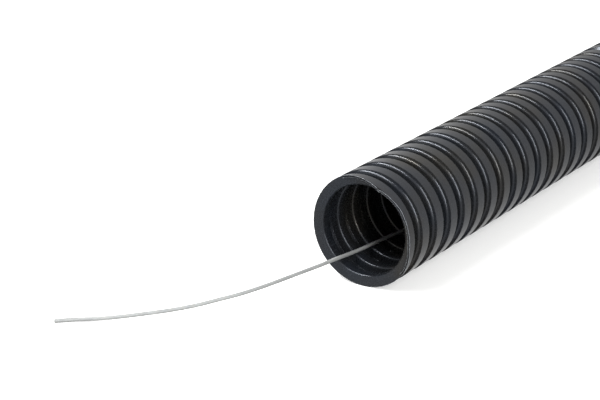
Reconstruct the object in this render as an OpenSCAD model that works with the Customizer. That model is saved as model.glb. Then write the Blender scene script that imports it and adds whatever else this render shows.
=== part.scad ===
// Cut length of black corrugated cable conduit with a steel draw wire lying in it.
// The conduit lies along X on z = 0, its hand-cut mouth towards -X, its square end towards +X.
// Units are millimetres, +Z is up, and the origin is the middle of the conduit's underside.

/* [Tube] */
// Outside diameter over the corrugations
outer_d = 25; // [16:0.5:63]
// Clear bore inside the inner ridges
bore_d = 20; // [10:0.5:54]
// Thickness of the formed wall
wall_t = 0.5; // [0.3:0.05:1.2]
// Overall length of the cut piece
tube_len = 1000; // [300:1:1200]
// Distance from one corrugation to the next
pitch = 6; // [4.5:0.1:14]

/* [Corrugation] */
// Width of a corrugation across its top, shoulders included
crest_w = 4; // [2.5:0.1:9]
// Radius of the shoulders on the outside of a corrugation
crest_round = 0.45; // [0.1:0.05:1]
// Radius of the shoulders on the inside of a ridge
ridge_round = 0.45; // [0.1:0.05:1]
// How far each flank leans over its height
flank_lean = 0.1; // [0:0.05:0.4]

/* [Hand cut mouth] */
// Width left of the first corrugation where the knife ran along its front shoulder
cut_near_w = 3.6; // [0.5:0.1:4]
// Width left of it where the knife ran along its back shoulder
cut_far_w = 0.2; // [0:0.1:2]
// Width that the slanted stroke between the two leaves on the tube's axis
cut_mid_w = 0.5; // [-2:0.1:3]
// Slant of that stroke, away from a square cut, in degrees
cut_slant = 23; // [0:1:40]
// Direction in which the cut goes deepest, in degrees round the tube from its top
cut_turn = 245; // [0:1:359]

/* [Draw wire] */
// Diameter of the steel wire
wire_d = 0.8; // [0.5:0.1:2]
// Gap that the wire keeps to the ridges it lies on
wire_gap = 0.05; // [0.02:0.01:0.5]
// Length of wire that stands out of the square end
stub_len = 34; // [20:1:100]

/* [Hidden] */
$fn = 96;

outer_r = outer_d / 2;
bore_r = bore_d / 2;
groove_r = bore_r + wall_t;
ceiling_r = outer_r - wall_t;
wire_r = wire_d / 2;
x_mouth = -tube_len / 2;
x_end = tube_len / 2;
half_w = crest_w / 2;

// The first corrugation's back shoulder, from which the row of corrugations is counted
x_back = x_mouth + cut_near_w;
x_first = x_back - half_w;
crests = ceil((x_end - x_first) / pitch) + 1;

// Points of a quarter round from angle a0 to a1, in whole steps, as [x, r]
function quarter(cx, cr, rad, a0, a1, steps) =
    [for (i = [0:steps]) let (a = a0 + (a1 - a0) * i / steps) [cx + rad * cos(a), cr + rad * sin(a)]];

// One corrugation of the outer line, from its front foot to its back foot
function outer_wave(cx) = concat(
    [[cx - half_w - flank_lean, groove_r]],
    quarter(cx - half_w + crest_round, outer_r - crest_round, crest_round, 180, 90, 3),
    quarter(cx + half_w - crest_round, outer_r - crest_round, crest_round, 90, 0, 3),
    [[cx + half_w + flank_lean, groove_r]]);

// The same corrugation of the inner line: ridge shoulder, ceiling, ridge shoulder
in_half = half_w - wall_t;
function inner_wave(cx) = concat(
    quarter(cx - in_half - flank_lean - ridge_round, bore_r + ridge_round, ridge_round, 270, 360, 3),
    [[cx - in_half, ceiling_r], [cx + in_half, ceiling_r]],
    quarter(cx + in_half + flank_lean + ridge_round, bore_r + ridge_round, ridge_round, 180, 270, 3));

outer_line = [for (i = [-1:crests]) each outer_wave(x_first + i * pitch)];
inner_line = [for (i = [-1:crests]) each inner_wave(x_first + i * pitch)];

// The whole corrugated wall, longer than needed at both ends
module corrugated_wall() {
    n = len(inner_line);
    translate([0, 0, outer_r]) rotate([0, 90, 0]) rotate_extrude()
        polygon([for (p = concat(outer_line, [for (i = [n - 1:-1:0]) inner_line[i]])) [p[1], p[0]]]);
}

// Waste block in front of a plane that crosses the axis at x and cuts deepest towards turn
module waste(x, slant, turn) {
    translate([x, 0, outer_r]) rotate([turn, 0, 0]) rotate([0, slant, 0])
        translate([-4 * outer_d, -2 * outer_d, -2 * outer_d]) cube(4 * outer_d);
}

module conduit() {
    color([0.16, 0.165, 0.175]) difference() {
        corrugated_wall();
        waste(x_mouth, 0, 0);
        intersection() {
            waste(x_back - cut_far_w, 0, 0);
            waste(x_back - cut_mid_w, cut_slant, cut_turn);
        }
        translate([x_end, -2 * outer_d, -2 * outer_d]) cube(4 * outer_d);
    }
}

// Route of the wire outside the mouth: out from the mouth, sideways, and height
free_route = [
    [48, 41.9, 0.4], [45.4, 38.9, 0.5], [43.1, 35.6, 0.6], [40.2, 31.7, 0.9], [37, 27.9, 1.3],
    [33, 23.5, 1.8], [29.2, 19.8, 2.4], [25.4, 17.1, 2.9], [22, 14.6, 3.4], [17.6, 12.3, 3.9],
    [12.8, 10.5, 4.3], [7.7, 8.8, 4.7], [2.7, 7, 5]];
// Route inside, lying on the ridges: in from the mouth, and degrees round from the lowest line
bore_route = [
    [2, 40], [8, 35.5], [14, 33], [20, 31.5], [26, 29], [40, 23], [60, 15], [90, 8], [130, 2], [170, 0]];
// Route of the stub: out from the square end, and height
stub_route = [[0.3, 2.9], [0.6, 2.1], [0.82, 1.1], [1, 0.4]];

lie_r = bore_r - wire_r - wire_gap;
lie_k = lie_r / 9.55;
function lie(x, turn) = [x, lie_r * sin(turn), outer_r - lie_r * cos(turn)];
function drop(h, h_top, z_top) = wire_r + (h - 0.4) * (z_top - wire_r) / (h_top - 0.4);
z_rim = lie(0, 40)[2];
z_low = lie(0, 0)[2];
wire_route = concat(
    [for (p = free_route) [x_mouth - p[0], p[1] * lie_k, drop(p[2], 5.18, z_rim)]],
    [for (p = bore_route) lie(x_mouth + p[0], p[1])],
    [lie(0, 0), lie(x_end - 20, 0), lie(x_end, 0)],
    [for (p = stub_route) [x_end + p[0] * stub_len, 0, drop(p[1], 2.95, z_low)]]);

// Point at t along the smooth curve from b to c, with a and d its neighbours
function curve(a, b, c, d, t) = 0.5 * (2 * b + (c - a) * t + (2 * a - 5 * b + 4 * c - d) * t * t
    + (3 * b - a - 3 * c + d) * t * t * t);
function unit(v) = v / norm(v);

// Tube of 8 sides swept along a route, its spans short enough to be even where they bend
module cord(route, r) {
    n = len(route);
    line = [for (i = [0:n - 2]) let (b = route[i], c = route[i + 1], a = i > 0 ? route[i - 1] : 2 * b - c,
        d = i < n - 2 ? route[i + 2] : 2 * c - b, long = norm(c - b) > 18)
        each [for (t = long ? [0] : [0, 0.5]) long ? b : curve(a, b, c, d, t)]];
    path = concat(line, [route[n - 1]]);
    m = len(path);
    points = [for (i = [0:m - 1]) let (t = unit(path[min(i + 1, m - 1)] - path[max(i - 1, 0)]),
        side = unit(cross(t, [0, 0, 1])), up = cross(side, t))
        each [for (j = [0:7]) path[i] + r * (cos(45 * j) * side + sin(45 * j) * up)]];
    sides = [for (i = [0:m - 2]) each [for (j = [0:7])
        let (k = (j + 1) % 8) [8 * i + j, 8 * i + k, 8 * i + 8 + k, 8 * i + 8 + j]]];
    polyhedron(points, concat(sides, [[for (j = [7:-1:0]) j], [for (j = [0:7]) 8 * (m - 1) + j]]));
}

module draw_wire() {
    color([0.62, 0.63, 0.64]) cord(wire_route, wire_r);
}

conduit();
draw_wire();
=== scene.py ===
import math

import bmesh
import bpy
import mathutils
import numpy as np
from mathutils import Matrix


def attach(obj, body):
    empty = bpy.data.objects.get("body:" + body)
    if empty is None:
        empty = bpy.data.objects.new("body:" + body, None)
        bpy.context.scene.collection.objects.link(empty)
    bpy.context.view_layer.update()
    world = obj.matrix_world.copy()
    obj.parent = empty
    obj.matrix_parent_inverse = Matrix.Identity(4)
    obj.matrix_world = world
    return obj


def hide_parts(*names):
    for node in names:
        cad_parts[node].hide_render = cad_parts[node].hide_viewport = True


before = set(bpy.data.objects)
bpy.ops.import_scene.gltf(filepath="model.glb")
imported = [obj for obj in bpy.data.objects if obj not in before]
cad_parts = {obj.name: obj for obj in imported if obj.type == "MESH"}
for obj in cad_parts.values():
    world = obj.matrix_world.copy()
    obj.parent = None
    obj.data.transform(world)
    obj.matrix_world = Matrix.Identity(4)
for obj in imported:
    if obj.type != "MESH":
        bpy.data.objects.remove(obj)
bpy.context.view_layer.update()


# The camera looks down into the cut mouth from its left, with a long lens and no depth of field.
# It stands about 0.43 m from the mouth, so the conduit runs out of view to the right.
camera_data = bpy.data.cameras.new("camera")
camera_data.lens = 121.6
camera_data.sensor_width = 36.0
camera_data.clip_start = 0.01
camera = bpy.data.objects.new("camera", camera_data)
camera.location = (-0.83627, -0.20799, 0.16366)
camera.rotation_euler = (math.radians(70.07), 0.0, math.radians(-56.59))
bpy.context.collection.objects.link(camera)
bpy.context.scene.camera = camera


# Draw wire: one bare length of drawn spring steel, 0.8 mm thick, left in the bore to pull cables with.
# It lies loose on the ridges, keeps a bend from its coil, and its cut tips rest on the table.
WIRE_D = 0.0008
WIRE_GAP = 0.00005
WIRE_SIDES = 12
# The swept path: the length of its pieces, and the most that one stretch of the route gets
WIRE_STEP = 0.0012
MOST_PIECES = 12
BORE_R = 0.01
AXIS_Z = 0.0125
LIE_R = BORE_R - WIRE_D / 2 - WIRE_GAP

# In front of the mouth: x, y and z of the wire's middle, in mm
free_route = np.array([
    (-548, 41.9, 0.4), (-545.4, 38.9, 0.5), (-543.1, 35.6, 0.6), (-540.2, 31.7, 0.9), (-537, 27.9, 1.3),
    (-533, 23.5, 1.8), (-529.2, 19.8, 2.4), (-525.4, 17.1, 2.9), (-522, 14.6, 3.4), (-517.6, 12.3, 3.9),
    (-512.8, 10.5, 4.3), (-507.7, 8.75, 4.7), (-502.7, 7.2, 5)]) / 1000
# Inside: x in mm, and degrees round the bore from its lowest line
bore_turns = np.array([
    (-498, 40), (-492, 36.1), (-486, 33.4), (-480, 31), (-474, 28.4), (-460, 23), (-440, 15), (-410, 8),
    (-370, 2), (-330, 0), (0, 0), (480, 0), (500, 0)])
turn = np.radians(bore_turns[:, 1])
bore_route = np.column_stack([
    bore_turns[:, 0] / 1000, LIE_R * np.sin(turn), AXIS_Z - LIE_R * np.cos(turn)])
# Out of the square end and down to the table
stub_route = np.array([(510.2, 0, 2.9), (520.4, 0, 2.1), (527.9, 0, 1.1), (534, 0, 0.4)]) / 1000
wire_route = np.concatenate([free_route, bore_route, stub_route])


def smooth_route(route, step):
    """Cubic curve through the route's points, in pieces about step long.

    At each point it heads along the mean of the two stretches beside it, the shorter one counting for more.
    """
    chord = np.diff(route, axis=0)
    long = np.linalg.norm(chord, axis=1, keepdims=True)
    way = chord / long
    between = (way[:-1] * long[1:] + way[1:] * long[:-1]) / (long[:-1] + long[1:])
    heading = np.concatenate([way[:1], between, way[-1:]])
    counts = np.clip(np.ceil(long[:, 0] / step), 1, MOST_PIECES).astype(int)
    span = np.repeat(np.arange(len(counts)), counts)
    first = np.concatenate([[0], np.cumsum(counts)[:-1]])
    t = ((np.arange(len(span)) - first[span]) / counts[span])[:, None]
    leave, meet = heading[span] * long[span], heading[span + 1] * long[span]
    points = route[span] + (3 * t**2 - 2 * t**3) * chord[span]
    points += (t**3 - 2 * t**2 + t) * leave
    points += (t**3 - t**2) * meet
    return np.concatenate([points, route[-1:]])


def grid_faces(rows, columns):
    """Four-cornered faces of a grid whose last column joins its first.

    A point's number is its row times the columns, plus its column.
    """
    i, j = np.meshgrid(np.arange(rows - 1), np.arange(columns), indexing="ij")
    k = (j + 1) % columns
    below = i + 1
    corners = [i * columns + j, i * columns + k, below * columns + k, below * columns + j]
    return np.stack(corners, -1).reshape(-1, 4)


def make_mesh(name, points, faces, caps=()):
    """One object from an array of points, an array of four-cornered faces and a few larger end faces."""
    mesh = bpy.data.meshes.new(name)
    mesh.from_pydata(points.tolist(), [], faces.tolist() + [list(cap) for cap in caps])
    mesh.shade_smooth()
    mesh.update()
    thing = bpy.data.objects.new(name, mesh)
    bpy.context.collection.objects.link(thing)
    return thing


def swept_tube(name, path, radius, sides):
    """Round tube along a path: at each point a circle square to the path, its start kept level."""
    ahead = np.gradient(path, axis=0)
    ahead /= np.linalg.norm(ahead, axis=1, keepdims=True)
    side = np.cross(ahead, (0, 0, 1))
    side /= np.linalg.norm(side, axis=1, keepdims=True)
    up = np.cross(side, ahead)
    angle = np.arange(sides) * 2 * np.pi / sides
    ring = np.cos(angle)[None, :, None] * side[:, None] + np.sin(angle)[None, :, None] * up[:, None]
    points = (path[:, None] + radius * ring).reshape(-1, 3)
    last = (len(path) - 1) * sides
    caps = [range(sides - 1, -1, -1), range(last, last + sides)]
    return make_mesh(name, points, grid_faces(len(path), sides), caps)


wire_path = smooth_route(wire_route, WIRE_STEP)
wire = swept_tube("steel_draw_wire", wire_path, WIRE_D / 2, WIRE_SIDES)
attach(wire, "root")
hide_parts("draw_wire")


def linear(hex_colour):
    """Linear RGBA of an sRGB hex colour, by the sRGB curve."""
    srgb = np.array([int(hex_colour[i:i + 2], 16) for i in (1, 3, 5)]) / 255
    rgb = np.where(srgb <= 0.04045, srgb / 12.92, ((srgb + 0.055) / 1.055) ** 2.4)
    return (*rgb.tolist(), 1.0)


def new_material(name):
    """A material with a bare node tree: its shader, its output and Object coordinates."""
    material = bpy.data.materials.new(name)
    material.use_nodes = True
    nodes, links = material.node_tree.nodes, material.node_tree.links
    shader = nodes["Principled BSDF"]
    place = nodes.new("ShaderNodeTexCoord")
    return material, nodes, links, shader, place.outputs["Object"]


def add(nodes, kind, links=None, feeds=None, **settings):
    """A new node of a kind with its settings; feeds maps its input names to the outputs that drive them."""
    node = nodes.new(kind)
    for name, value in settings.items():
        if name[0].isupper():
            node.inputs[name.replace("_", " ")].default_value = value
        else:
            setattr(node, name, value)
    for name, output in (feeds or {}).items():
        links.new(output, node.inputs[name])
    return node


def set_ramp(node, *stops):
    """Colour ramp stops as pairs of position and sRGB hex colour."""
    elements = node.color_ramp.elements
    for element, (position, colour) in zip(elements, stops[:2]):
        element.position, element.color = position, linear(colour)
    for position, colour in stops[2:]:
        elements.new(position).color = linear(colour)


# Cold-drawn steel: the die leaves marks along it, a few hundredths of a millimetre apart, and they soften its
# gloss to a satin grey. Finer ones wouldn't show, so they are drawn 1.3 mm apart and 13 mm long.
# The film of drawing soap, which isn't metal, makes it paler.
steel, nodes, links, shader, place = new_material("drawn_spring_steel")
shader.inputs["Metallic"].default_value = 0.4
stretch = add(nodes, "ShaderNodeMapping", links, {"Vector": place}, Scale=(25, 250, 250))
streaks = add(nodes, "ShaderNodeTexNoise", links, {"Vector": stretch.outputs["Vector"]}, Scale=3.0,
              Detail=2.0)
tint = add(nodes, "ShaderNodeValToRGB", links, {"Fac": streaks.outputs["Fac"]})
set_ramp(tint, (0.3, "#a6a8a8"), (0.7, "#b6b8b7"))
links.new(tint.outputs["Color"], shader.inputs["Base Color"])
sheen = add(nodes, "ShaderNodeMapRange", links, {"Value": streaks.outputs["Fac"]}, To_Min=0.58,
            To_Max=0.64)
links.new(sheen.outputs["Result"], shader.inputs["Roughness"])
wire.data.materials.append(steel)


# Conduit: one tube of black polyethylene, formed against moulds that give it parallel ring corrugations.
# The satin skin has faint marks of the mould and of handling. The mouth was cut off with a knife.
plastic, nodes, links, shader, place = new_material("formed_black_polyethylene")
shader.inputs["IOR"].default_value = 1.51
# Cloudy change of tone, about 12 mm across, between a bluish and a brownish black
clouds = add(nodes, "ShaderNodeTexNoise", links, {"Vector": place}, Scale=80.0, Detail=2.0)
tone = add(nodes, "ShaderNodeValToRGB", links, {"Fac": clouds.outputs["Fac"]})
set_ramp(tone, (0.35, "#1b1e23"), (0.65, "#201f1d"))
# The same clouds tint the gloss, as a thin bloom of wax does: mostly bluish, with olive patches
bloom = add(nodes, "ShaderNodeValToRGB", links, {"Fac": clouds.outputs["Fac"]})
set_ramp(bloom, (0.5, "#edf3ff"), (0.68, "#fcf8ee"))
links.new(bloom.outputs["Color"], shader.inputs["Specular Tint"])
# Fine scuffs that run along the tube, about 0.3 mm wide and 2 mm long
drawn = add(nodes, "ShaderNodeMapping", links, {"Vector": place}, Scale=(500, 3500, 3500))
scuffs = add(nodes, "ShaderNodeTexNoise", links, {"Vector": drawn.outputs["Vector"]}, Scale=1.0,
             Detail=3.0)
scuffed = add(nodes, "ShaderNodeValToRGB", links, {"Fac": scuffs.outputs["Fac"]})
set_ramp(scuffed, (0.5, "#000000"), (0.75, "#2a2d31"))
blend = add(nodes, "ShaderNodeMix", data_type="RGBA", blend_type="ADD")
blend.inputs[0].default_value = 0.35
links.new(tone.outputs["Color"], blend.inputs[6])
links.new(scuffed.outputs["Color"], blend.inputs[7])
# Satin gloss, a little duller on the scuffs
gloss = add(nodes, "ShaderNodeMapRange", links, {"Value": scuffs.outputs["Fac"]}, From_Min=0.3,
            From_Max=0.7, To_Min=0.2, To_Max=0.27)
links.new(gloss.outputs["Result"], shader.inputs["Roughness"])
# Edges that the knife and the mould leave are broken by about 0.15 mm, which gives them a thin bright lip
lip = add(nodes, "ShaderNodeBevel", samples=6, Radius=0.00016)
skin = add(nodes, "ShaderNodeBump", links,
           {"Height": scuffs.outputs["Fac"], "Normal": lip.outputs["Normal"]},
           Strength=0.03, Distance=0.00004)
links.new(skin.outputs["Normal"], shader.inputs["Normal"])
# Painted highlight: in front of CUT_END, wherever the bevelled normal turns away from the face's own, the
# base colour is mixed towards pale grey. It is a thin bright line that stands in for the glint of light on
# the cut lip
CUT_END = -0.4965
level = add(nodes, "ShaderNodeNewGeometry")
turned = add(nodes, "ShaderNodeVectorMath", links, {0: level.outputs["Normal"], 1: lip.outputs["Normal"]},
             operation="DOT_PRODUCT")
edge = add(nodes, "ShaderNodeMapRange", links, {"Value": turned.outputs["Value"]}, From_Min=0.98,
           From_Max=0.8, To_Min=0.0, To_Max=0.9)
along = add(nodes, "ShaderNodeSeparateXYZ", links, {"Vector": place})
at_mouth = add(nodes, "ShaderNodeMath", links, {0: along.outputs["X"]}, operation="LESS_THAN")
at_mouth.inputs[1].default_value = CUT_END
painted_lip_highlight = add(nodes, "ShaderNodeMath", links, {0: edge.outputs["Result"], 1: at_mouth.outputs[0]},
               operation="MULTIPLY")
# Mixing in the pale grey that paints the highlight on the cut edges; it is not the plastic's own colour
base_with_painted_highlight = add(nodes, "ShaderNodeMix", links, {0: painted_lip_highlight.outputs[0], 6: blend.outputs[2]}, data_type="RGBA")
base_with_painted_highlight.inputs[7].default_value = linear("#b4b9c0")
links.new(base_with_painted_highlight.outputs[2], shader.inputs["Base Color"])

# Sizes in mm: wall, corrugations, and the radii of the wall's four levels, from the outside to the bore
WALL = 0.5
PITCH, CREST_W, LEAN = 6.0, 4.0, 0.1
HALF_W, IN_HALF = CREST_W / 2, CREST_W / 2 - WALL
OUTER_R, BORE_MM = 12.5, 10.0
CEILING_R, GROOVE_R = OUTER_R - WALL, BORE_MM + WALL
# The first corrugation's back shoulder, from which the row is counted, and the square end
X_BACK, X_END = -496.4, 500.0
# Corrugations whose shoulders have more steps, corrugations in all, and facets round the tube
NEAR_CRESTS, CRESTS, SEGMENTS = 20, 167, 48
# Strips of the plateau beside its front and back shoulder, which keep its shading flat
FRONT_STRIP, BACK_STRIP = 0.12, 0.08


def quarter(x, r, radius, start, stop, steps):
    """Points of an arc round (x, r), as pairs of x and radius, between two angles in degrees."""
    angle = np.radians(np.linspace(start, stop, steps + 1))
    return np.column_stack([x + radius * np.cos(angle), r + radius * np.sin(angle)])


def outer_wave(front, back, steps):
    """A corrugation's outer line about its middle: foot, soft shoulder, plateau, crisp shoulder, foot.

    Steps counts the pieces of the front shoulder, those of the back one, and the points on the plateau.
    """
    plateau = np.array([(-HALF_W + front + FRONT_STRIP, OUTER_R), (HALF_W - back - BACK_STRIP, OUTER_R)])
    return np.concatenate([
        [(-HALF_W - LEAN, GROOVE_R)],
        quarter(-HALF_W + front, OUTER_R - front, front, 180, 90, steps[0]),
        plateau[:steps[2]],
        quarter(HALF_W - back, OUTER_R - back, back, 90, 0, steps[1]),
        [(HALF_W + LEAN, GROOVE_R)]])


def inner_wave(ridge, bevel, steps):
    """The same corrugation inside: ridge shoulder, ceiling with a bevelled front, ridge shoulder."""
    return np.concatenate([
        quarter(-IN_HALF - LEAN - ridge, BORE_MM + ridge, ridge, 270, 360, steps),
        [(-IN_HALF, CEILING_R - bevel), (-IN_HALF + bevel, CEILING_R), (IN_HALF, CEILING_R)],
        quarter(IN_HALF + LEAN + ridge, BORE_MM + ridge, ridge, 270, 180, steps)[::-1]])


def row_of(near, far):
    """One line of the wall: the near wave at the first crests, then the far wave, each one pitch on."""
    middles = X_BACK - HALF_W + PITCH * np.arange(CRESTS)
    runs = [(middles[:NEAR_CRESTS], near), (middles[NEAR_CRESTS:], far)]
    shifts = [(run[:, None, None] * np.array([1, 0]), wave) for run, wave in runs]
    return np.concatenate([(shift + wave).reshape(-1, 2) for shift, wave in shifts])


def revolved(line):
    """The closed line of x and radius, turned round the conduit's axis, in metres.

    Y is the radius times the sine of the angle from the top, and z the radius times its cosine, off the axis.
    """
    angle = np.arange(SEGMENTS) * 2 * np.pi / SEGMENTS
    x, r = np.repeat(line[:, :1], SEGMENTS, axis=1), line[:, 1:]
    return np.stack([x, r * np.sin(angle), r * np.cos(angle) + OUTER_R], -1).reshape(-1, 3) / 1000


outside = row_of(outer_wave(1.0, 0.4, (6, 4, 2)), outer_wave(0.9, 0.15, (1, 0, 0)))
inside = row_of(inner_wave(0.5, 0.2, 3), inner_wave(0.3, 0.3, 0))
# Both lines stop 0.01 mm short of the square end, where two points close the wall
outside, inside = outside[outside[:, 0] < X_END - 0.01], inside[inside[:, 0] < X_END - 0.01]
line = np.concatenate([outside, [(X_END, GROOVE_R), (X_END, BORE_MM)], inside[::-1]])
points = revolved(line)
# The last row of faces joins the line's end to its start
faces = grid_faces(len(line) + 1, SEGMENTS) % len(points)
conduit = make_mesh("formed_conduit", points, faces)


# The uncut block: its size, and where its middle lies along the axis
BLOCK_SIZE, BLOCK_X = 0.06, -0.51


def waste_block(*planes):
    """Convex block of what several knife planes all take.

    Each plane crosses the axis at x, in mm. It leans by slant degrees from a square cut, and cuts deepest
    towards turn, in degrees round from the top.
    """
    block = bmesh.new()
    bmesh.ops.create_cube(block, size=BLOCK_SIZE)
    bmesh.ops.translate(block, verts=block.verts, vec=(BLOCK_X, 0, AXIS_Z))
    for x, slant, turn in planes:
        s, t = math.radians(slant), math.radians(turn)
        normal = (math.cos(s), math.sin(s) * math.sin(t), -math.sin(s) * math.cos(t))
        geometry = block.verts[:] + block.edges[:] + block.faces[:]
        bmesh.ops.bisect_plane(block, geom=geometry, plane_co=(x / 1000, 0, AXIS_Z), plane_no=normal,
                               clear_outer=True)
        bmesh.ops.convex_hull(block, input=block.verts)
        bmesh.ops.dissolve_limit(block, angle_limit=0.001, verts=block.verts, edges=block.edges)
    mesh = bpy.data.meshes.new("waste")
    block.to_mesh(mesh)
    block.free()
    thing = bpy.data.objects.new("waste", mesh)
    bpy.context.collection.objects.link(thing)
    return thing


# The hand cut: a square start at the tip, then slanted strokes that meet the first crest's back shoulder
square = (X_BACK - 3.45, 0, 0)
near_side = (X_BACK - 2.4, 0, 0)
far_side = (X_BACK - 0.4, 0, 0)
over_top = (X_BACK - 0.6, 16.8, 245)
down_near = (X_BACK - 2.9, 10, 130)
underneath = (X_BACK - 1.6, 14.4, 200)
wastes = [
    waste_block(square),
    waste_block(far_side, over_top),
    waste_block(far_side, near_side, down_near),
    waste_block(far_side, underneath)]
for waste in wastes:
    cut = conduit.modifiers.new("cut", "BOOLEAN")
    cut.operation, cut.solver, cut.object = "DIFFERENCE", "EXACT", waste
cut_mesh = bpy.data.meshes.new_from_object(conduit.evaluated_get(bpy.context.evaluated_depsgraph_get()))
conduit.modifiers.clear()
conduit.data = cut_mesh
for waste in wastes:
    bpy.data.objects.remove(waste)
# Edges of more than 35 degrees stay crisp, and the rest are shaded smooth
cut_mesh.shade_smooth()
cut_mesh.set_sharp_from_angle(angle=math.radians(35))
cut_mesh.materials.clear()
cut_mesh.materials.append(plastic)
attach(conduit, "root")
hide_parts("conduit")


# Table and backdrop: one pale sheet of matt paper that runs out of view. A little light of its own, which
# only the camera sees, brings it up to white and leaves the soft shadow.
FLOOR_HALF = 6.0
OWN_LIGHT = 0.5
floor_corners = FLOOR_HALF * np.array([(-1, -1, 0), (1, -1, 0), (1, 1, 0), (-1, 1, 0)])
floor = make_mesh("table_sheet", floor_corners, np.array([(0, 1, 2, 3)]))
sheet, nodes, links, shader, place = new_material("matt_white_paper")
# Cloudy pulp, about 2.5 mm across, as the clumps of fibre in paper are
fibres = add(nodes, "ShaderNodeTexNoise", links, {"Vector": place}, Scale=400.0, Detail=2.0)
pulp = add(nodes, "ShaderNodeValToRGB", links, {"Fac": fibres.outputs["Fac"]})
set_ramp(pulp, (0.3, "#efefed"), (0.7, "#f5f5f3"))
links.new(pulp.outputs["Color"], shader.inputs["Base Color"])
shader.inputs["Roughness"].default_value = 0.9
rays = add(nodes, "ShaderNodeLightPath")
seen = add(nodes, "ShaderNodeMath", links, {0: rays.outputs["Is Camera Ray"]}, operation="MULTIPLY")
seen.inputs[1].default_value = OWN_LIGHT
glow = add(nodes, "ShaderNodeEmission", links, {"Strength": seen.outputs[0]})
both = add(nodes, "ShaderNodeAddShader", links, {0: shader.outputs["BSDF"], 1: glow.outputs["Emission"]})
# The gloss looks through the sheet at the studio, whose backlight and half-lit front are set below
clear = add(nodes, "ShaderNodeBsdfTransparent")
by_ray = add(nodes, "ShaderNodeMixShader", links,
             {0: rays.outputs["Is Glossy Ray"], 1: both.outputs["Shader"], 2: clear.outputs["BSDF"]})
links.new(by_ray.outputs["Shader"], nodes["Material Output"].inputs["Surface"])
floor.data.materials.append(sheet)

# Studio: white to the camera, and a low even light on the object. The gloss sees a bright wall behind the
# mouth, towards the far end, dim sides, and a half-lit wall in front of the mouth.
EVEN_LIGHT = 0.45
world = bpy.data.worlds.new("studio")
bpy.context.scene.world = world
world.use_nodes = True
nodes, links = world.node_tree.nodes, world.node_tree.links
rays = add(nodes, "ShaderNodeLightPath")
place = add(nodes, "ShaderNodeTexCoord")
parts = add(nodes, "ShaderNodeSeparateXYZ", links, {"Vector": place.outputs["Generated"]})
backlight = add(nodes, "ShaderNodeValToRGB", links, {"Fac": parts.outputs["X"]})
set_ramp(backlight, (0.66, "#3a3a3a"), (0.78, "#ffffff"), (0.9, "#a4a4a4"))
front = add(nodes, "ShaderNodeMapRange", links, {"Value": parts.outputs["X"]}, From_Min=-0.36,
            From_Max=-0.56, To_Min=0.0, To_Max=0.6)
walls = add(nodes, "ShaderNodeMath", links, {0: backlight.outputs["Color"], 1: front.outputs["Result"]})
gloss_light = add(nodes, "ShaderNodeMix", links, {0: rays.outputs["Is Glossy Ray"], 3: walls.outputs[0]})
gloss_light.inputs[2].default_value = EVEN_LIGHT
strength = add(nodes, "ShaderNodeMix", links, {0: rays.outputs["Is Camera Ray"], 2: gloss_light.outputs[0]})
strength.inputs[3].default_value = 1.0
nodes["Background"].inputs["Color"].default_value = (1, 1, 1, 1)
links.new(strength.outputs[0], nodes["Background"].inputs["Strength"])


def softbox(name, place, aim, size, power):
    """Oblong area lamp at a place, turned to look at its aim."""
    data = bpy.data.lights.new(name, "AREA")
    data.shape = "RECTANGLE"
    data.size, data.size_y = size
    data.energy = power
    lamp = bpy.data.objects.new(name, data)
    lamp.location = place
    way = mathutils.Vector(aim) - mathutils.Vector(place)
    lamp.rotation_mode = "QUATERNION"
    lamp.rotation_quaternion = way.to_track_quat("-Z", "Y")
    bpy.context.collection.objects.link(lamp)


# A wide strip high on the far side of the mouth, and a low tall one on the camera's side
MOUTH = (-0.5, 0, 0)
softbox("key_strip", (-0.86, 0.48, 1.02), MOUTH, (1.5, 0.13), 18)
softbox("low_strip", (-1.12, -0.78, 0.46), MOUTH, (0.16, 0.85), 7)

bpy.context.scene.view_settings.view_transform = "Standard"
